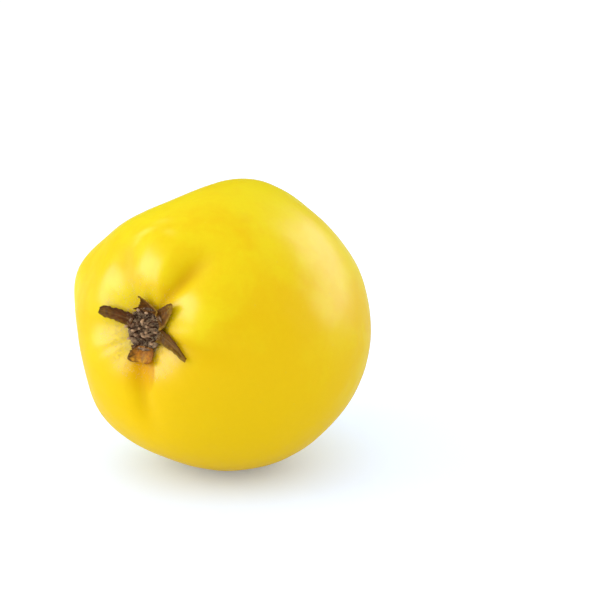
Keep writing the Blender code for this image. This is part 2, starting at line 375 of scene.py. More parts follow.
def list_knocks():
    """The skin's small knocks, each as a depth and its middle and spread."""
    draw = random.Random(KNOCK_SEED)
    knocks = []
    for _ in range(KNOCKS):
        polar = acos(draw.uniform(*KNOCK_BELT))
        way = way_out(polar, draw.uniform(*WHOLE_TURN))
        knocks.append((draw.uniform(*KNOCK_DEPTHS), way, draw.uniform(*KNOCK_SPREADS)))
    return knocks


SKIN_KNOCKS = list_knocks()


def pleat_noise(polar, azimuth, frequency):
    """Noise drawn out along the core, which makes folds that run towards both ends."""
    return noise.noise(around_core(frequency, azimuth, PLEAT_DRIFT * polar))


def wrinkle_heights(polar, azimuth):
    """How high the shoulder's wrinkles stand and how deep they go at one direction."""
    ridge = 0.0
    groove = 0.0
    for wrinkle_azimuth, wrinkle_polar, half_length, climb, height in WRINKLES:
        along = turn_between(azimuth, wrinkle_azimuth)
        if abs(along) < WRINKLE_REACH * radians(half_length):
            across = (polar - radians(wrinkle_polar) - climb * along) / WRINKLE_WIDTH
            height *= MM * bell(along / radians(half_length), 0.75)
            ridge += height * bell(across - WRINKLE_SIDESTEP, 1.0)
            groove += height * bell(across + WRINKLE_SIDESTEP, 1.0)
    return ridge, groove


def furrow_share(polar, azimuth):
    """How far a direction lies in a furrow: 1 on the deepest one's line, 0 on the lobes."""
    along = bell(polar - CREASE_POLAR, CREASE_RUN)
    return sum(
        depth / DEEPEST_CREASE * along * bell(turn_between(azimuth, crease_azimuth), CREASE_LINE_SPREAD)
        for crease_azimuth, depth in CREASES
    )


def skin_relief(polar, azimuth, lumpiness):
    """The small unevenness of the skin: soft lumps, pleats at both ends, thin wrinkles and knocks."""
    way = way_out(polar, azimuth)
    relief = lumpiness * sum(share * noise.noise(way * frequency) for frequency, share in LUMP_LAYERS)
    pleats = PLEAT_HEIGHT * bell(polar - PLEAT_POLAR, PLEAT_SPREAD)
    pleats += PIT_PLEAT_HEIGHT * sin(polar) * bell(pi - polar, PIT_PLEAT_SPREAD)
    relief += pleats * pleat_noise(polar, azimuth, PLEAT_FREQUENCY)
    ridge, groove = wrinkle_heights(polar, azimuth)
    relief += ridge - groove - CREASE_LINE_DEPTH * furrow_share(polar, azimuth)
    near_knocks = [knock for knock in SKIN_KNOCKS if way.dot(knock[1]) > KNOCK_NEARNESS]
    return relief + mound_height(way, LOW_CRESTS) - mound_height(way, near_knocks)


def skin_point(polar, azimuth, lumpiness, lift=0.0):
    """A point on the finished skin, or lifted off it, around the core."""
    radius = fruit_radius(polar, azimuth) + skin_relief(polar, azimuth, lumpiness) + lift
    return way_out(polar, azimuth) * radius


# ---- Settings ----


def setting(kind, **options):
    """A way to declare settings of one kind; each is given its name, description and default."""

    def declare(name, description, default):
        return kind(name=name, description=description, default=default, **options)

    return declare


Length = setting(FloatProperty, min=0.0, precision=5, unit="LENGTH")
Share = setting(FloatProperty, min=0.0, max=1.0, subtype="FACTOR")
Strength = setting(FloatProperty, min=0.0)
Power = setting(FloatProperty, min=0.0, unit="POWER")
Angle = setting(FloatProperty, subtype="ANGLE")
Lens = setting(FloatProperty, min=1.0, unit="CAMERA")
Colour = setting(FloatVectorProperty, min=0.0, max=1.0, size=3, subtype="COLOR")
Count = setting(IntProperty, min=0)


class QuinceSkinSettings(bpy.types.PropertyGroup):
    """The skin's relief, colours and shine."""

    lumpiness: Length("Lumpiness", "Height of the skin's soft lumps", 0.28 * MM)
    grain: Length("Grain", "Height of the skin's fine grain", 0.022 * MM)
    # Lemon and gold also paint shade: lemon on the lit side, gold on the side away from the light.
    lemon: Colour("Lemon", "Skin on the side that ripened last", (0.750, 0.612, 0.006))
    gold: Colour("Gold", "Skin on the side that ripened first", (0.725, 0.462, 0.001))
    # Painted bounce light: a warmer, lighter gold low on the golden side, standing for light from below.
    blush: Colour("Blush", "Warm flush low on the golden side", (0.820, 0.520, 0.001))
    # Amber darkens the furrows as painted shade.
    amber: Colour("Amber", "Skin in the furrows", (0.560, 0.320, 0.002))
    orange: Colour("Orange", "Stain beside the broadest sepal", (0.640, 0.295, 0.001))
    green: Colour("Green", "Last trace of green at the stalk end", (0.430, 0.450, 0.020))
    russet: Colour("Russet", "Rough brown skin in the stalk's pit", (0.300, 0.180, 0.040))
    bloom: Colour("Bloom", "Skin seen through the down at both ends", (0.800, 0.650, 0.200))
    shine: Share("Roughness", "How blurred the skin's reflections are", 0.36)
    fleck_spacing: Length("Fleck spacing", "Distance between the skin's pores", 2.6 * MM)


class QuinceFlowerSettings(bpy.types.PropertyGroup):
    """The dried flower: cup, sepals, stamens and styles."""

    sepal_thickness: Length("Sepal thickness", "Thickness of a dried sepal", 0.28 * MM)
    tooth_depth: Length("Tooth depth", "Depth of the teeth on a sepal's margins", 0.22 * MM)
    vein_height: Length("Vein height", "Height of a sepal's middle vein", 0.20 * MM)
    cup: Colour("Cup", "Dried cup", (0.055, 0.026, 0.013))
    # The cup's pale colour, drawn on its higher crinkles and in patches of its grain.
    cup_dust: Colour("Cup dust", "Pale dust in the cup", (0.350, 0.220, 0.120))
    filament: Colour("Filament", "Stem of a dried stamen", (0.075, 0.032, 0.014))
    anther: Colour("Anther", "Head of a dried stamen", (0.440, 0.270, 0.145))
    style: Colour("Style", "Dried style", (0.130, 0.080, 0.045))


class QuinceStalkSettings(bpy.types.PropertyGroup):
    """The stalk's bark and its broken end."""

    bark: Colour("Bark", "Bark in its hollows", (0.075, 0.042, 0.022))
    bark_ridge: Colour("Bark ridge", "Bark on its ridges", (0.210, 0.130, 0.075))
    wood: Colour("Wood", "Wood at the broken end", (0.470, 0.320, 0.180))
    relief: Length("Relief", "Height of the bark's ridges", 0.16 * MM)


class QuinceDownSettings(bpy.types.PropertyGroup):
    """The short down that is left at both ends of the fruit."""

    flower_hairs: Count("Flower hairs", "Hairs around the flower, before some are rubbed off", 6500)
    stalk_hairs: Count("Stalk hairs", "Hairs around the stalk", 3200)
    hair_length: Length("Length", "Length of the longest hairs", 1.3 * MM)
    hair_radius: Length("Thickness", "Radius of a hair", 0.024 * MM)
    colour: Colour("Down", "Colour of the palest hairs", (0.860, 0.740, 0.480))
    shade: Colour("Old down", "Colour of the darkest hairs", (0.420, 0.290, 0.130))


class QuinceStageSettings(bpy.types.PropertyGroup):
    """The floor, the lights and the camera."""

    floor_size: Length("Floor size", "Side of the square floor", 6.0)
    floor: Colour("Floor", "Colour of the floor", (0.75, 0.84, 1.00))
    floor_glow: Share("Floor glow", "Light that the lit table itself gives", 0.22)
    glow_colour: Colour("Glow colour", "Colour of the table's own light", (0.66, 0.74, 1.00))
    room: Strength("Room", "Strength of the white room's light", 1.20)
    key: Power("Key", "Power of the soft light at the left", 0.95)
    left_pane: Power("Left pane", "Power of the pane that the lobes reflect", 21.5)
    rear_pane: Power("Rear pane", "Power of the broad pane behind, at the right", 14.8)
    camera_azimuth: Angle("Azimuth", "Camera's angle around the fruit", radians(33))
    camera_elevation: Angle("Elevation", "Camera's angle above the floor", radians(17))
    camera_distance: Length("Distance", "From the camera to its target", 0.65)
    lens: Lens("Lens", "Focal length", 130.65)


# ---- Materials ----

# Pale for the pores' rims, and a painted highlight along the wrinkles' ridges
PORE_RIM_AND_RIDGE_HIGHLIGHT = (0.92, 0.84, 0.18)
SEPAL_VEIN = (0.30, 0.17, 0.05)
SEPAL_SPECK = (0.03, 0.015, 0.004)
BARK_PORE = (0.40, 0.29, 0.18)
OLD_WOOD = (0.20, 0.12, 0.06)


class Value:
    """An output in a node tree; plain arithmetic on it adds Math nodes."""

    def __init__(self, board, socket):
        self.board = board
        self.socket = socket

    def __add__(self, other):
        return self.board.math("ADD", self, other)

    def __sub__(self, other):
        return self.board.math("SUBTRACT", self, other)

    def __rsub__(self, other):
        return self.board.math("SUBTRACT", other, self)

    def __mul__(self, other):
        return self.board.math("MULTIPLY", self, other)

    def __truediv__(self, other):
        return self.board.math("DIVIDE", self, other)

    def __rtruediv__(self, other):
        return self.board.math("DIVIDE", other, self)

    __radd__ = __add__
    __rmul__ = __mul__

    def window(self, low, high):
        """0 below low, 1 above high, and a smooth rise between them."""
        inputs = {"Value": self, "From Min": low, "From Max": high}
        return self.board.add("ShaderNodeMapRange", inputs, interpolation_type="SMOOTHSTEP")["Result"]


class Board:
    """Short ways to add nodes to one node tree and join them."""

    def __init__(self, tree, material=None):
        self.tree = tree
        self.material = material

    def feed(self, socket, value):
        """Links a socket to another node's output, or sets its own value."""
        if isinstance(value, Value):
            self.tree.links.new(value.socket, socket)
        elif socket.type == "RGBA":
            socket.default_value = (*value, 1.0)
        else:
            socket.default_value = value

    def add(self, kind, inputs=None, **options):
        """Adds a node, sets its options, feeds its inputs and gives its outputs by name."""
        node = self.tree.nodes.new(kind)
        for name, value in options.items():
            setattr(node, name, value)
        for name, value in (inputs or {}).items():
            self.feed(node.inputs[name], value)
        return {socket.name: Value(self, socket) for socket in node.outputs if socket.enabled}

    def math(self, operation, first, second=0.0):
        return self.add("ShaderNodeMath", {0: first, 1: second}, operation=operation)["Value"]

    def blend(self, share, first, second):
        """A mix of two colours; the share is kept between 0 and 1."""
        return self.add("ShaderNodeMix", {0: share, 6: first, 7: second}, data_type="RGBA")["Result"]

    def layered(self, colour, *layers):
        """A colour with others laid over it in turn, each as (share, colour)."""
        for share, layer in layers:
            colour = self.blend(share, colour, layer)
        return colour

    def attribute(self, name):
        return self.add("ShaderNodeAttribute", attribute_name=name)["Fac"]

    def effect(self, name, **values):
        """Places a shared effect on the piece's own coordinates."""
        inputs = {"Place": self.add("ShaderNodeTexCoord")["Object"], **values}
        return self.add("ShaderNodeGroup", inputs, node_tree=shared_effect(name))

    def shade(self, height=None, **values):
        """Feeds the Principled shader, with _ for a space, and its bump in metres; gives the material."""
        if height is not None:
            bump = {"Height": height, "Strength": 1.0, "Distance": 1.0}
            values["Normal"] = self.add("ShaderNodeBump", bump)["Normal"]
        sockets = self.tree.nodes["Principled BSDF"].inputs
        for name, value in values.items():
            self.feed(sockets[name.replace("_", " ")], value)
        return self.material


def make_patches(board, given):
    """Soft uneven patches of a given size; Amount runs from 0 to 1."""
    inputs = {"Vector": given["Place"], "Scale": 1.0 / given["Size"], "Detail": 3.0}
    texture = board.add("ShaderNodeTexNoise", {**inputs, "Distortion": given["Ragged"]})
    return {"Amount": texture["Fac"].window(0.34, 0.66)}


def make_flecks(board, given):
    """Small round flecks scattered unevenly; Fleck is 1 inside one, and Rim is 1 on the ring around it."""
    inputs = {"Vector": given["Place"], "Scale": 1.0 / given["Spacing"]}
    cells = board.add("ShaderNodeTexVoronoi", inputs)
    red = board.add("ShaderNodeSeparateColor", {"Color": cells["Color"]})["Red"]
    chosen = board.math("LESS_THAN", red, given["Share"])
    size = given["Radius"] * (red / given["Share"] + 0.6)
    share = cells["Distance"] * given["Spacing"] / size
    inside = 1.0 - share.window(0.55, 1.0)
    near = 1.0 - share.window(1.0, 1.7)
    return {"Fleck": inside * chosen, "Rim": (near - inside) * chosen}


def make_grain(board, given):
    """Fine grain; Height and Tone both run from 0 to 1, and Tone is the coarser one."""
    scale = 1.0 / given["Size"]
    fine = board.add("ShaderNodeTexNoise", {"Vector": given["Place"], "Scale": scale, "Detail": 4.0})
    coarse = board.add("ShaderNodeTexNoise", {"Vector": given["Place"], "Scale": scale * 0.37, "Detail": 2.0})
    return {"Height": fine["Fac"], "Tone": coarse["Fac"].window(0.3, 0.7)}


# The shared effects: how each is made, and its inputs with their defaults
EFFECTS = {
    "patches": (make_patches, {"Size": 10 * MM, "Ragged": 0.3}),
    "flecks": (make_flecks, {"Spacing": 3 * MM, "Radius": 0.3 * MM, "Share": 0.6}),
    "grain": (make_grain, {"Size": 0.5 * MM}),
}


def shared_effect(name):
    """A shared effect's node group, made the first time that it is asked for."""
    tree = bpy.data.node_groups.get(name)
    if tree is None:
        make, defaults = EFFECTS[name]
        tree = bpy.data.node_groups.new(name, "ShaderNodeTree")
        tree.interface.new_socket("Place", in_out="INPUT", socket_type="NodeSocketVector")
        for key, default in defaults.items():
            socket = tree.interface.new_socket(key, in_out="INPUT", socket_type="NodeSocketFloat")
            socket.default_value = default
        board = Board(tree)
        found = make(board, board.add("NodeGroupInput"))
        for key in found:
            tree.interface.new_socket(key, in_out="OUTPUT", socket_type="NodeSocketFloat")
        board.add("NodeGroupOutput", found)
    return tree


def start_material(name, **values):
    """The board of a new material with its Principled shader's fixed values set."""
    material = bpy.data.materials.new(name)
    material.use_nodes = True
    board = Board(material.node_tree, material)
    board.shade(**values)
    return board


def make_skin_material(look):
    """Waxy skin, lemon to gold by ripening and painted shade, with pores, furrows darkened to amber as
    painted shade, an orange stain, a bloom at both ends, painted highlights on one lobe and along the
    wrinkles' ridges, and painted bounce light low on the golden side.
    """
    board = start_material(
        "quince_skin",
        Subsurface_Weight=0.06,
        Subsurface_Radius=(1.0, 0.5, 0.05),
        Subsurface_Scale=1.2 * MM,
        Specular_IOR_Level=0.02,
        Coat_Roughness=0.32,
        Coat_IOR=2.2,
    )
    broad = board.effect("patches", Size=19 * MM, Ragged=0.4)["Amount"]
    middling = board.effect("patches", Size=5.5 * MM, Ragged=0.6)["Amount"]
    grain = board.effect("grain", Size=0.55 * MM)
    pores = board.effect("flecks", Spacing=look.fleck_spacing, Radius=0.15 * MM, Share=0.55)
    furrow = board.attribute("furrow")
    stain = board.attribute("stain")
    flower_end = board.attribute("flower_end")
    stalk_end = board.attribute("stalk_end")

    # The ripeness share is partly ripening and partly painted shade, golden away from the light.
    ripeness = board.attribute("ripeness") + (broad - 0.5) * 0.34 + (middling - 0.5) * 0.12
    green = stalk_end.window(0.02, 0.8) * (middling + 0.35) * 0.55
    russet = stalk_end.window(0.80, 0.98) * (grain["Tone"] + 0.4) * 0.8
    bloom = flower_end.window(0.25, 0.95) * (grain["Tone"] + 0.35) * (1.0 - stain * 0.85) * 0.50
    colour = board.layered(
        look.lemon,
        # gold for ripening and painted shade
        (ripeness.window(0.0, 1.0), look.gold),
        # painted bounce light low on the golden side
        (board.attribute("blush"), look.blush),
        # painted shade: the furrows darkened to amber
        (furrow * 0.90, look.amber),
        (stain * 0.95, look.orange),
        (green, look.green),
        (russet, look.russet),
        (bloom, look.bloom),
        (pores["Fleck"] * 0.16, look.russet),
        # pale rims round the pores, and a painted highlight along the wrinkles' ridges
        (pores["Rim"] * 0.06 + board.attribute("ridge") * 0.4, PORE_RIM_AND_RIDGE_HIGHLIGHT),
        ((1.0 - grain["Tone"]) * 0.05, look.amber),
    )
    roughness = grain["Tone"] * 0.06 + middling * 0.05 + furrow * 0.35 + flower_end * 0.30 + stalk_end * 0.25
    smooth = board.math("MAXIMUM", 1.0 - (furrow * 2.5 + stain))
    return board.shade(
        height=grain["Height"] * look.grain + middling * (0.03 * MM) - pores["Fleck"] * (0.020 * MM),
        Base_Color=colour,
        Roughness=roughness + look.shine,
        Coat_Weight=smooth * 0.03,
    )


def make_dry_material(name, dark, pale, relief, grain_size, roughness=0.75):
    """Dry flower tissue: dark in its hollows, pale where its attribute 'head' or its grain stands out."""
    board = start_material(name, Specular_IOR_Level=0.05)
    grain = board.effect("grain", Size=grain_size)
    patches = board.effect("patches", Size=1.7 * MM, Ragged=1.0)["Amount"]
    light = board.attribute("head") + grain["Tone"] * patches * 0.45
    return board.shade(
        height=grain["Height"] * relief,
        Base_Color=board.blend(light.window(0.05, 1.0), dark, pale),
        Roughness=patches * 0.15 + roughness,
    )


def make_sepal_material(name, colours):
    """A dried leafy blade: its colour runs from its middle to its tip and margins, with veins and specks."""
    middle, tip, left_margin, right_margin = colours
    board = start_material(
        name, Specular_IOR_Level=0.04, Subsurface_Weight=0.08, Subsurface_Scale=0.4 * MM
    )
    along = board.attribute("along")
    side = board.attribute("side")
    off_midrib = board.math("ABSOLUTE", side)
    grain = board.effect("grain", Size=0.35 * MM)
    patches = board.effect("patches", Size=1.5 * MM, Ragged=0.9)["Amount"]
    specks = board.effect("flecks", Spacing=0.9 * MM, Radius=0.16 * MM, Share=0.5)["Fleck"]
    uneven = (patches - 0.5) * 0.30
    veins = board.math("SINE", off_midrib * 9.0 - along * 30.0).window(0.55, 1.0)
    lines = board.math("MAXIMUM", veins * 0.45, 1.0 - off_midrib.window(0.04, 0.14))
    dirt = board.math("MAXIMUM", (1.0 - grain["Tone"]) * 0.45, specks * 0.5)
    colour = board.layered(
        middle,
        ((along + uneven).window(0.45, 0.98), tip),
        ((side * -1.0 - uneven).window(0.45, 0.95), left_margin),
        ((side - uneven).window(0.45, 0.95), right_margin),
        (lines * 0.25, SEPAL_VEIN),
        (dirt, SEPAL_SPECK),
    )
    return board.shade(
        height=grain["Height"] * (0.06 * MM) + lines * (0.05 * MM),
        Base_Color=colour,
        Roughness=grain["Tone"] * 0.25 + 0.55,
    )


def make_stalk_material(look):
    """Ridged bark with pale pores and a fibrous broken end."""
    board = start_material("stalk_wood", Specular_IOR_Level=0.25)
    grain = board.effect("grain", Size=0.30 * MM)
    patches = board.effect("patches", Size=2.0 * MM, Ragged=0.8)["Amount"]
    pores = board.effect("flecks", Spacing=1.1 * MM, Radius=0.17 * MM, Share=0.5)["Fleck"]
    light = board.attribute("ridge") + grain["Tone"] * 0.35 + patches * 0.25
    colour = board.layered(
        look.bark,
        (light.window(0.2, 1.3), look.bark_ridge),
        (pores * 0.55, BARK_PORE),
        (board.attribute("broken"), board.blend(grain["Tone"], OLD_WOOD, look.wood)),
    )
    return board.shade(
        height=grain["Height"] * (0.10 * MM) + pores * (0.05 * MM),
        Base_Color=colour,
        Roughness=grain["Tone"] * 0.2 + 0.72,
    )


def make_down_material(name, look):
    """Dull fine hair; each hair has its own tone."""
    board = start_material(name, Specular_IOR_Level=0.08, Roughness=0.8)
    tone = board.attribute("tone") + (board.attribute("along") - 0.5) * 0.3
    grain = board.effect("grain", Size=0.8 * MM)["Tone"]
    return board.shade(Base_Color=board.layered(look.shade, (tone, look.colour), (grain * 0.2, look.shade)))


# ---- Pieces ----


def mesh_of(shape, name, material):
    """The finished shape as a mesh of one material."""
    mesh = bpy.data.meshes.new(name)
    shape.to_mesh(mesh)
    shape.free()
    mesh.materials.append(material)
    return mesh


def place_in_scene(name, data):
    """A new object, linked to the scene."""
    made = bpy.data.objects.new(name, data)
    bpy.context.scene.collection.objects.link(made)
    return made


def finish_piece(shape, name, slot, material, *nodes):
    """Makes the shape a smooth piece that rides on the fruit and stands for its nodes of the frame."""
    bmesh.ops.transform(shape, matrix=CORE, verts=shape.verts)
    mesh = mesh_of(shape, name, material)
    mesh.shade_smooth()
    piece = place_in_scene(name, mesh)
    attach(piece, "root")
    if nodes:
        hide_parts(*nodes)
    return piece


def add_layers(shape, *names):
    """New layers for a number at each of the shape's points."""
    return [shape.verts.layers.float.new(name) for name in names]


def start_ball(segments, rings, *layer_names):
    """A unit sphere to be shaped, and its number layers."""
    shape = bmesh.new()
    bmesh.ops.create_uvsphere(shape, u_segments=segments, v_segments=rings, radius=1.0)
    return shape, *add_layers(shape, *layer_names)


def direction_of(place):
    """The polar angle and azimuth of a point around the core."""
    return atan2(hypot(place.x, place.y), place.z), atan2(place.y, place.x)


def stain_share(polar, azimuth):
    """The orange stain below the broadest sepal, soft on one side and sharp on the other."""
    turn = degrees(turn_between(azimuth, STAIN_AZIMUTH))
    away = degrees(polar)
    edge = STAIN_WIDTH - STAIN_NARROWING * (away - STAIN_FADE[0]) ** 2
    soft_side = smooth_step(turn, *STAIN_SOFT_SIDE)
    sharp_side = 1.0 - smooth_step(turn - edge, *STAIN_SHARP_SIDE)
    return soft_side * sharp_side * (1.0 - smooth_step(away, *STAIN_FADE))


def downy_share(azimuth):
    """The flower end's down is thick below the flower and rubbed thin above it."""
    return (0.5 + 0.5 * cos(turn_between(azimuth, DOWNY_AZIMUTH))) ** 1.5


def spot_share(way, middle, spread):
    """1 in the middle of a spot, and less away from it."""
    return bell(arc_between(way, middle), spread)


def ripeness_and_shade_share(way):
    """0 on the lit lemon side and 1 on the shaded side that ripened first, as ripening and painted shade;
    less on one lobe, which is painted pale as a highlight.
    """
    ripe = 0.5 + GOLDEN_STRENGTH * way.dot(Vector(GOLDEN_SIDE).normalized())
    return ripe - PAINTED_HIGHLIGHT_STRENGTH * spot_share(way, *spot(*PAINTED_HIGHLIGHT_LOBE))


def rest_softly(shape):
    """Lifts what lies below the resting plane onto it, with a soft edge."""
    away_from_core = CORE.inverted()
    for vert in shape.verts:
        place = CORE @ vert.co
        if place.z < REST_REACH:
            place.z = (place.z + hypot(place.z, REST_SOFTNESS)) / 2
            vert.co = away_from_core @ place


def make_skin(look):
    """The fruit's whole surface, as one closed skin."""
    names = ("ripeness", "blush", "furrow", "stain", "ridge", "flower_end", "stalk_end")
    shape, *layers = start_ball(SKIN_SEGMENTS, SKIN_RINGS, *names)
    for vert in shape.verts:
        polar, azimuth = direction_of(vert.co)
        polar -= RING_CROWDING * sin(2.0 * polar) / 2
        way = way_out(polar, azimuth)
        # The skin's shares: ripening with painted shade and a painted highlight, painted bounce light,
        # furrows, stain, wrinkle ridges with a painted highlight, and both ends
        values = (
            ripeness_and_shade_share(way),
            spot_share(way, *spot(*PAINTED_BOUNCE_SPOT)),
            furrow_share(polar, azimuth),
            stain_share(polar, azimuth),
            # the wrinkles' ridges, which the skin paints pale as a highlight
            wrinkle_heights(polar, azimuth)[0] / (0.2 * MM),
            bell(polar, END_SPREAD) * (0.30 + 0.70 * downy_share(azimuth)),
            bell(pi - polar, END_SPREAD),
        )
        for layer, value in zip(layers, values):
            vert[layer] = value
        vert.co = skin_point(polar, azimuth, look.lumpiness)
    rest_softly(shape)
    finish_piece(shape, "skin", "quince_skin", make_skin_material(look), "fruit_body")


def make_cup(look):
    """The dried cup: a crinkled dish with radial ribs and a torn rim."""
    shape, head = start_ball(CUP_SEGMENTS, CUP_RINGS, "head")
    for vert in shape.verts:
        share = hypot(vert.co.x, vert.co.y)
        azimuth = atan2(vert.co.y, vert.co.x)
        torn = 0.05 * pleat_noise(0.0, azimuth, 4.0) + 0.03 * pleat_noise(1.0, azimuth, 9.0)
        across = CUP_RADIUS * share * (1.0 + torn * smooth_step(share, 0.7, 1.0))
        crinkle = CUP_CRINKLE * noise.noise(around_core(across * CUP_CRINKLE_FREQUENCY, azimuth, 3.0))
        crinkle += CUP_RIBS * pleat_noise(share, azimuth, 6.0) * smooth_step(share, 0.3, 0.9)
        crinkle += CUP_BOSS * bell(share - 0.18, 0.12)
        under = skin_height(across, azimuth) + GAP
        level = (vert.co.z + 1.0) / 2
        # The cup is drawn paler where its crinkles, ribs and boss stand higher, and darker where they lie
        # lower.
        vert[head] = 0.25 + 1.4 * crinkle / CUP_PALE_HEIGHT
        vert.co = around_core(across, azimuth, under + (cup_top(across, azimuth) - under + crinkle) * level)
    material = make_dry_material("dried_cup", look.cup, look.cup_dust, 0.12 * MM, 0.35 * MM, 0.8)
    finish_piece(shape, "flower_cup", "dried_cup", material, "calyx_cup")


def sepal_point(number, sepal, look, along, side):
    """A point of a dried sepal: along runs 0 to 1 to its tip, side -1 to 1 across it."""
    azimuth, reach, foot, tip, tip_rise, bend, curl, fullness = sepal
    across = SEPAL_START + (reach * MM - SEPAL_START) * along
    rounded_off = sqrt(1.0 - (0.97 * along) ** fullness)
    width = (foot + (tip - foot) * along) * MM * rounded_off
    margin = noise.noise((along * 9.0, 3.0 * number + side, 0.5)) * look.tooth_depth
    teeth = abs(sin(pi * (5.0 + number % 2) * along + side)) * look.tooth_depth
    aside = side * (width + margin - abs(side) * teeth * sin(pi * along)) + bend * MM * along**2
    direction = radians(azimuth) + atan2(aside, across)
    out = hypot(across, aside)
    height = skin_height(out, direction) + SEPAL_LIE + SEPAL_FOOT_RISE * bell(along, 0.10)
    height += tip_rise * MM * along**3 + curl * width * side**2
    height += look.vein_height * bell(side, 0.16) * (1.0 - along)
    crumple = Vector((along * 3.6, side * 1.6, 7.0 * number))
    height += sum(rise * noise.noise(crumple * frequency) for frequency, rise in SEPAL_CRUMPLES)
    return around_core(out, direction, height)


def make_sepals(look):
    """The five dried sepals: thin toothed blades, curled and crumpled each in its own way."""
    for number, (sepal, colours) in enumerate(zip(SEPALS, SEPAL_COLOURS), start=1):
        shape = bmesh.new()
        bmesh.ops.create_grid(shape, x_segments=SEPAL_STEPS, y_segments=SEPAL_SIDES, size=1.0)
        along_layer, side_layer = add_layers(shape, "along", "side")
        for vert in shape.verts:
            along = (vert.co.x + 1.0) / 2
            side = vert.co.y
            vert[along_layer] = along
            vert[side_layer] = side
            vert.co = sepal_point(number, sepal, look, along, side)
        material = make_sepal_material(f"dried_sepal_{number}", colours)
        piece = finish_piece(shape, f"sepal_blade_{number}", "dried_sepals", material, f"sepal_{number}")
        wall = piece.modifiers.new("wall", "SOLIDIFY")
        wall.thickness = look.sepal_thickness
        wall.offset = 1.0


def bent_line(foot, lean, length, bow, seed, waver):
    """A strand's line, as a function of the share along it: it leans, bows and wavers more and more."""
    noise.seed_set(STRAND_SEED)
    direction = (Vector((0.0, 0.0, 1.0)) + lean).normalized()

    def line(along):
        place = foot + direction * (length * along) + bow * sin(pi * along)
        return place + noise.noise_vector((3.0 * along, *seed)) * (waver * along)

    return line


def make_strand(name, slot, node, material, line, radius_at, paleness=1.0):
    """One closed strand: line gives a point along it, radius_at its radius along and around it."""
    shape, head = start_ball(STRAND_SIDES, STRAND_RINGS, "head")
    step = 0.01
    for vert in shape.verts:
        along, around = direction_of(vert.co)
        along /= pi
        turn = Vector((0.0, 0.0, 1.0)).rotation_difference(line(along + step) - line(along - step))
        end = sqrt(max(0.0, 1.0 - abs(2.0 * along - 1.0) ** 12))
        pale = smooth_step(along, HEAD_PLACE - 1.5 * HEAD_SPREAD, HEAD_PLACE - 0.5 * HEAD_SPREAD)
        vert[head] = paleness * pale
        vert.co = line(along) + turn @ around_core(radius_at(along, around) * end, around, 0.0)
    bmesh.ops.recalc_face_normals(shape, faces=shape.faces)
    finish_piece(shape, name, slot, material, node)


def stamen_line(index):
    """The line of one stamen of the outer or the inner ring."""
    inner = index % 2
    azimuth = tau * index / STAMEN_COUNT
    across = STAMEN_RINGS[inner]
    outward = around_core(1.0, azimuth, 0.0)
    sideways = around_core(1.0, azimuth + pi / 2, 0.0)
    lean = outward * (STAMEN_LEANS[inner] + STAMEN_UNEVENNESS * sin(2.4 * index))
    sink = (Vector((0.0, 0.0, 1.0)) + lean).normalized() * GAP
    foot = around_core(across, azimuth, cup_top(across, azimuth) + GAP) - sink
    length = STAMEN_LENGTHS[inner] * (1.0 + STAMEN_UNEVENNESS * cos(2.9 * index))
    bow = sideways * (STAMEN_BOW * sin(1.9 * index))
    return bent_line(foot, lean, length, bow, (3.7 * index, 0.0), STAMEN_WAVER)


def make_stamens(look):
    """Twenty shrivelled stamens: thin bent stems with grooved two-lobed heads."""
    material = make_dry_material("dried_stamens", look.filament, look.anther, 0.05 * MM, 0.22 * MM)
    for index in range(STAMEN_COUNT):

        def radius_at(along, around):
            swell = (ANTHER_SWELL - 0.6) * bell(along - HEAD_PLACE, HEAD_SPREAD)
            stem = (1.0 - 0.45 * along) * (1.0 + 0.15 * sin(23.0 * along + index))
            lobed = 1.0 + 0.22 * cos(2.0 * around) - 0.30 * bell(abs(sin(around)) - 1.0, 0.3)
            return FILAMENT_RADIUS * (stem + swell * lobed)

        name = f"stamen_thread_{index + 1:02d}"
        node = f"stamen_{index + 1:02d}"
        paleness = 0.50 + 0.50 * sin(5.3 * index)
        make_strand(name, "dried_stamens", node, material, stamen_line(index), radius_at, paleness)


def make_styles(look):
    """Five dried styles that stand together in the middle."""
    material = make_dry_material("dried_styles", look.style, look.anther, 0.05 * MM, 0.25 * MM)

    def radius_at(along, around):
        swell = (STIGMA_SWELL - 0.6) * bell(along - 0.94, 0.09)
        stem = (1.15 - 0.35 * along) * (1.0 + 0.08 * sin(17.0 * along + around))
        return STYLE_RADIUS * (stem + swell * (1.0 + 0.2 * cos(3.0 * around)))

    for index in range(STYLE_COUNT):
        azimuth = tau * (index + 0.5) / STYLE_COUNT
        foot = around_core(STYLE_RING, azimuth, cup_top(STYLE_RING, azimuth))
        outward = around_core(1.0, azimuth, 0.0)
        seed = (5.1 * index, 9.0)
        line = bent_line(foot, outward * STYLE_LEAN, STYLE_LENGTH, outward * STYLE_BOW, seed, STYLE_WAVER)
        name = f"style_thread_{index + 1}"
        make_strand(name, "dried_styles", f"style_{index + 1}", material, line, radius_at)


def smooth_profile(points, steps):
    """Points of a smooth curve through the given ones, with a number of steps between each pair."""
    ends = [points[0], *points, points[-1]]
    found = []
    for index in range(1, len(ends) - 2):
        before, here, there, after = ends[index - 1:index + 3]
        for step in range(steps):
            t = step / steps
            found.append([
                0.5 * (2 * b + (c - a) * t + (2 * a - 5 * b + 4 * c - d) * t**2
                       + (3 * b - a - 3 * c + d) * t**3)
                for a, b, c, d in zip(before, here, there, after)
            ])
    return [*found, points[-1]]


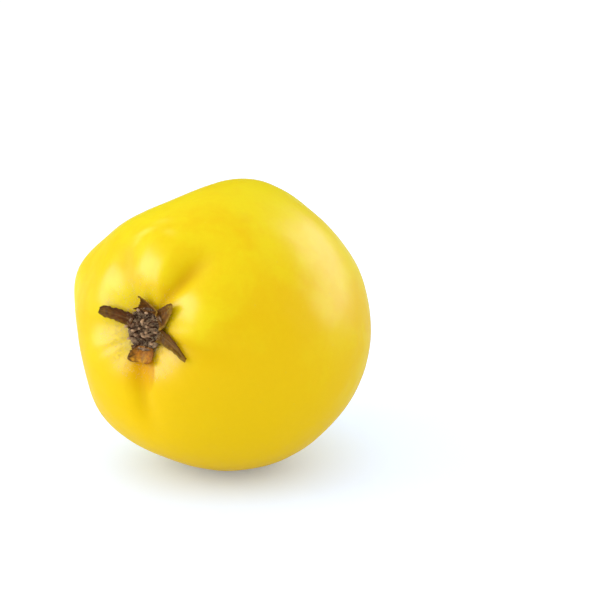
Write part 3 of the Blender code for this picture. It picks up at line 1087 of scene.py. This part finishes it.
def make_stalk(look):
    """The stalk: ridged bark that swells to a torn, fibrous end where it left the twig."""
    shape = bmesh.new()
    outline = smooth_profile(STALK_PROFILE, STALK_PROFILE_STEPS)
    points = [shape.verts.new((max(0.0, radius) * MM, 0.0, height * MM)) for radius, height in outline]
    edges = [shape.edges.new(pair) for pair in zip(points, points[1:])]
    bmesh.ops.spin(
        shape,
        geom=[*points, *edges],
        axis=(0.0, 0.0, 1.0),
        cent=(0.0, 0.0, 0.0),
        angle=tau,
        steps=STALK_SEGMENTS,
        use_merge=True,
    )
    bmesh.ops.remove_doubles(shape, verts=shape.verts, dist=0.001 * MM)
    broken_layer, ridge_layer = add_layers(shape, "broken", "ridge")
    length = STALK_PROFILE[-1][1] * MM
    for vert in shape.verts:
        flat = Vector((vert.co.x, vert.co.y, 0.0))
        across = flat.length
        azimuth = atan2(vert.co.y, vert.co.x)
        level = vert.co.z / length
        broken = smooth_step(level, *STALK_BREAK)
        ridge = pleat_noise(3.0 * level, azimuth, 3.2) + 0.5 * pleat_noise(7.0 * level, azimuth, 8.0)
        scars = sum(bell(level - place, 0.018) for place in STALK_SCARS)
        splinter = 0.45 * MM * noise.noise((across * 2200, azimuth * 2.0, 1.0))
        splinter += 0.35 * MM * noise.noise(flat * 2600)
        vert[broken_layer] = broken
        vert[ridge_layer] = 0.5 + 0.7 * ridge
        if across > 0.2 * MM:
            vert.co += flat * (look.relief * (ridge + 0.8 * scars) * (1.0 - broken) / across)
        vert.co.z += broken * splinter
        vert.co.x += STALK_BEND * level**2
    foot = fruit_radius(pi, 0.0) + STALK_STAND
    turn = Matrix.Translation((0.0, 0.0, -foot)) @ Matrix.Rotation(pi, 4, "X")
    bmesh.ops.transform(shape, matrix=turn, verts=shape.verts)
    bmesh.ops.recalc_face_normals(shape, faces=shape.faces)
    finish_piece(shape, "stalk_stub", "stalk_wood", make_stalk_material(look), "stalk")


def make_hairs(name, slot, look, hairs):
    """One piece of many short hairs; each is (root, direction, sag, length, tone)."""
    (spindle,) = start_ball(HAIR_SIDES, HAIR_RINGS)
    template = bpy.data.meshes.new("hair")
    spindle.to_mesh(template)
    spindle.free()
    shape = bmesh.new()
    for _ in hairs:
        shape.from_mesh(template)
    size = len(template.vertices)
    bpy.data.meshes.remove(template)
    along_layer, tone_layer = add_layers(shape, "along", "tone")
    shape.verts.ensure_lookup_table()
    for index, (root, direction, sag, length, tone) in enumerate(hairs):
        aside = direction.orthogonal().normalized()
        over = aside.cross(direction)
        for vert in shape.verts[index * size:(index + 1) * size]:
            along = (1.0 - vert.co.z) / 2
            thickness = look.hair_radius * (1.1 - 0.8 * along)
            place = root + direction * (length * along) + sag * (length * along**2)
            vert[along_layer] = along
            vert[tone_layer] = tone
            vert.co = place + (aside * vert.co.x + over * vert.co.y) * thickness
    finish_piece(shape, name, slot, make_down_material(name, look))


def skin_normal(polar, azimuth, lumpiness):
    """The direction straight out of the skin."""
    step = 0.02
    down = skin_point(polar + step, azimuth, lumpiness) - skin_point(polar - step, azimuth, lumpiness)
    round_core = skin_point(polar, azimuth + step, lumpiness) - skin_point(polar, azimuth - step, lumpiness)
    return down.cross(round_core).normalized()


def random_way(draw, low=-1.0, high=1.0):
    """A random offset; low and high are its range along the core."""
    return Vector((draw.uniform(-1, 1), draw.uniform(-1, 1), draw.uniform(low, high)))


def list_hairs(look, lumpiness, count, seed, reach, turns=WHOLE_TURN, at_flower=True, rubbed=False):
    """Hairs on the skin around one end, thinning out away from it."""
    draw = random.Random(seed)
    hairs = []
    for _ in range(count):
        share = draw.random() ** 1.5
        off = reach[0] + (reach[1] - reach[0]) * share
        polar = off if at_flower else pi - off
        azimuth = draw.uniform(*turns)
        if rubbed and draw.random() > 0.2 + 0.8 * downy_share(azimuth):
            continue
        if at_flower and draw.random() < 0.85 * stain_share(polar, azimuth):
            continue
        out = skin_normal(polar, azimuth, lumpiness)
        away = around_core(1.0, azimuth + draw.uniform(-0.9, 0.9), 0.0)
        swirl = random_way(draw)
        direction = (out * 0.55 + away * 0.55 + swirl * 0.45).normalized()
        sag = (away - out * 0.5 + swirl * 0.5) * 0.45
        length = look.hair_length * draw.uniform(0.35, 1.0) * (1.0 - 0.55 * share)
        root = skin_point(polar, azimuth, lumpiness, -HAIR_SINK)
        hairs.append((root, direction, sag, length, draw.uniform(0.25, 1.0)))
    return hairs


def list_cup_hairs(look, count, seed):
    """Short wool on the dried cup, between the stamens."""
    draw = random.Random(seed)
    hairs = []
    for _ in range(count):
        across = CUP_RADIUS * 0.98 * sqrt(draw.random())
        azimuth = draw.uniform(*WHOLE_TURN)
        root = around_core(across, azimuth, cup_top(across, azimuth))
        direction = (Vector((0.0, 0.0, 0.8)) + random_way(draw, -0.2, 0.8)).normalized()
        sag = Vector((draw.uniform(-1, 1), draw.uniform(-1, 1), 0.0)) * 0.6
        length = look.hair_length * draw.uniform(0.3, 0.9)
        hairs.append((root, direction, sag, length, draw.uniform(0.0, 0.7)))
    return hairs


def make_down(look, lumpiness):
    """The down at both ends of the fruit, with the wool in the dried cup."""
    count = look.flower_hairs
    flower = list_hairs(look, lumpiness, count, 5, FLOWER_REACH, rubbed=True)
    flower += list_hairs(look, lumpiness, count // 20, 9, TUFT_REACH, TUFT_TURNS)
    flower += list_cup_hairs(look, count // 6, 6)
    stalk = list_hairs(look, lumpiness, look.stalk_hairs, 7, STALK_REACH, at_flower=False)
    make_hairs("flower_down", "dried_cup", look, flower)
    make_hairs("stalk_down", "stalk_wood", look, stalk)


# ---- Stage ----


def make_floor(look):
    shape = bmesh.new()
    bmesh.ops.create_grid(shape, x_segments=1, y_segments=1, size=look.floor_size / 2)
    board = start_material(
        "pale_floor",
        Base_Color=look.floor,
        Roughness=0.9,
        Specular_IOR_Level=0.0,
        Emission_Color=look.glow_colour,
        Emission_Strength=look.floor_glow,
    )
    place_in_scene("floor", mesh_of(shape, "floor", board.material))


def make_room(look):
    """A white room, which shiny things don't reflect directly."""
    world = bpy.data.worlds.new("white_room")
    world.use_nodes = True
    background = world.node_tree.nodes["Background"].inputs
    background["Color"].default_value = (1.0, 1.0, 1.0, 1.0)
    background["Strength"].default_value = look.room
    world.cycles_visibility.glossy = False
    bpy.context.scene.world = world


def toward(azimuth, elevation):
    """The direction from the fruit to something at an azimuth, counted from -Y towards +X, and height."""
    return around_core(cos(elevation), azimuth - pi / 2, sin(elevation))


def make_light(name, power, azimuth, elevation, roll, distance, width, height):
    """A soft rectangular light that faces the middle of the fruit."""
    light = bpy.data.lights.new(name, "AREA")
    light.shape = "RECTANGLE"
    light.size = width
    light.size_y = height
    light.energy = power
    way = toward(radians(azimuth), radians(elevation))
    turn = way.to_track_quat("Z", "Y").to_matrix() @ Matrix.Rotation(radians(roll), 3, "Z")
    lamp = place_in_scene(name, light)
    lamp.location = CORE.to_translation() + way * distance
    lamp.rotation_euler = turn.to_euler()
    return lamp


def make_lights(look):
    """A soft key light, and two panes that show only in reflections."""
    make_light("key", look.key, *KEY_PLACE)
    make_light("left_pane", look.left_pane, *LEFT_PANE_PLACE).visible_diffuse = False
    make_light("rear_pane", look.rear_pane, *REAR_PANE_PLACE).visible_diffuse = False


def make_camera(look):
    back = toward(look.camera_azimuth, look.camera_elevation)
    turn = back.to_track_quat("Z", "Y")
    data = bpy.data.cameras.new("camera")
    data.lens = look.lens
    data.sensor_width = 36.0
    data.clip_start = 0.01
    camera = place_in_scene("camera", data)
    target = CORE.to_translation() + turn @ Vector((AIM_RIGHT, AIM_UP, 0.0))
    camera.location = target + back * look.camera_distance
    camera.rotation_euler = turn.to_euler()
    bpy.context.scene.camera = camera


def make_stage(look):
    make_floor(look)
    make_room(look)
    make_lights(look)
    make_camera(look)
    bpy.context.scene.view_settings.view_transform = "Standard"


# ---- Operators and panel ----


class QUINCE_OT_skin(bpy.types.Operator):
    """Make the fruit's skin, from lemon to gold, with its lobes, furrows and pores"""

    bl_idname = "quince.make_skin"
    bl_label = "Skin"

    def execute(self, context):
        make_skin(context.scene.quince_skin)
        return {"FINISHED"}


class QUINCE_OT_cup(bpy.types.Operator):
    """Make the dried cup in the middle of the flower end"""

    bl_idname = "quince.make_cup"
    bl_label = "Dried cup"

    def execute(self, context):
        make_cup(context.scene.quince_flower)
        return {"FINISHED"}


class QUINCE_OT_sepals(bpy.types.Operator):
    """Make the five dried sepals"""

    bl_idname = "quince.make_sepals"
    bl_label = "Sepals"

    def execute(self, context):
        make_sepals(context.scene.quince_flower)
        return {"FINISHED"}


class QUINCE_OT_stamens(bpy.types.Operator):
    """Make the twenty dried stamens"""

    bl_idname = "quince.make_stamens"
    bl_label = "Stamens"

    def execute(self, context):
        make_stamens(context.scene.quince_flower)
        return {"FINISHED"}


class QUINCE_OT_styles(bpy.types.Operator):
    """Make the five dried styles"""

    bl_idname = "quince.make_styles"
    bl_label = "Styles"

    def execute(self, context):
        make_styles(context.scene.quince_flower)
        return {"FINISHED"}


class QUINCE_OT_stalk(bpy.types.Operator):
    """Make the woody stalk with its broken end"""

    bl_idname = "quince.make_stalk"
    bl_label = "Stalk"

    def execute(self, context):
        make_stalk(context.scene.quince_stalk)
        return {"FINISHED"}


class QUINCE_OT_down(bpy.types.Operator):
    """Make the short down at both ends of the fruit"""

    bl_idname = "quince.make_down"
    bl_label = "Down"

    def execute(self, context):
        make_down(context.scene.quince_down, context.scene.quince_skin.lumpiness)
        return {"FINISHED"}


class QUINCE_OT_stage(bpy.types.Operator):
    """Set up the pale floor, the soft lights and the camera"""

    bl_idname = "quince.make_stage"
    bl_label = "Stage"

    def execute(self, context):
        make_stage(context.scene.quince_stage)
        return {"FINISHED"}


OPERATORS = (
    QUINCE_OT_stage, QUINCE_OT_skin, QUINCE_OT_cup, QUINCE_OT_sepals,
    QUINCE_OT_stamens, QUINCE_OT_styles, QUINCE_OT_stalk, QUINCE_OT_down,
)

SETTINGS = (
    ("quince_skin", QuinceSkinSettings),
    ("quince_flower", QuinceFlowerSettings),
    ("quince_stalk", QuinceStalkSettings),
    ("quince_down", QuinceDownSettings),
    ("quince_stage", QuinceStageSettings),
)


class QUINCE_PT_panel(bpy.types.Panel):
    """The quince's pieces and their settings"""

    bl_idname = "QUINCE_PT_panel"
    bl_label = "Quince"
    bl_space_type = "VIEW_3D"
    bl_region_type = "UI"
    bl_category = "Quince"

    def draw(self, context):
        for operator in OPERATORS:
            self.layout.operator(operator.bl_idname)
        for name, group in SETTINGS:
            box = self.layout.box()
            settings = getattr(context.scene, name)
            for setting in group.__annotations__:
                box.prop(settings, setting)


def register():
    for name, group in SETTINGS:
        bpy.utils.register_class(group)
        setattr(bpy.types.Scene, name, PointerProperty(type=group))
    for operator in OPERATORS:
        bpy.utils.register_class(operator)
    bpy.utils.register_class(QUINCE_PT_panel)


def unregister():
    bpy.utils.unregister_class(QUINCE_PT_panel)
    for operator in reversed(OPERATORS):
        bpy.utils.unregister_class(operator)
    for name, group in reversed(SETTINGS):
        delattr(bpy.types.Scene, name)
        bpy.utils.unregister_class(group)


def main():
    register()
    bpy.ops.quince.make_stage()
    bpy.ops.quince.make_skin()
    bpy.ops.quince.make_cup()
    bpy.ops.quince.make_sepals()
    bpy.ops.quince.make_stamens()
    bpy.ops.quince.make_styles()
    bpy.ops.quince.make_stalk()
    bpy.ops.quince.make_down()


if __name__ == "__main__":
    main()
